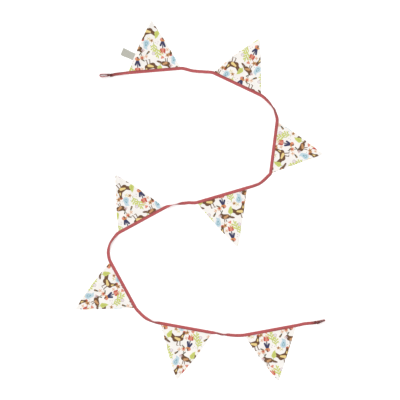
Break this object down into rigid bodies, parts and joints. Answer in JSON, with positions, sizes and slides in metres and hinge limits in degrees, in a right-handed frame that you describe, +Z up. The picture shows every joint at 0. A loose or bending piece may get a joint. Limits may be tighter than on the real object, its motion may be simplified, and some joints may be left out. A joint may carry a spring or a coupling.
{
  "type": "bunting",
  "caption": "Pointed cloth flags on a folded tape with a hanging loop at each end, laid flat in a loose S.",
  "frame": {"origin": "middle of the covered area, on the surface that the bunting lies on", "axes": "+Z up from the surface, +Y towards the first two flags' points, +X to the right of the picture"},
  "size_m": [0.9967, 1.4376, 0.0126],
  "materials": {
    "cotton": "plain-woven cotton, off-white, printed all over with small motifs, both faces alike, turned edges",
    "tape": "muted red cotton tape folded lengthwise, matt, with one row of stitching near its open edge",
    "label": "pale warm grey satin ribbon, blank"
  },
  "bodies": {
    "root": {"tape": "tape", "loop_start": "tape", "loop_end": "tape", "label": "label", "flag_1": "cotton", "flag_2": "cotton", "flag_3": "cotton", "flag_4": "cotton", "flag_5": "cotton", "flag_6": "cotton", "flag_7": "cotton", "flag_8": "cotton"}
  },
  "joints": []
}
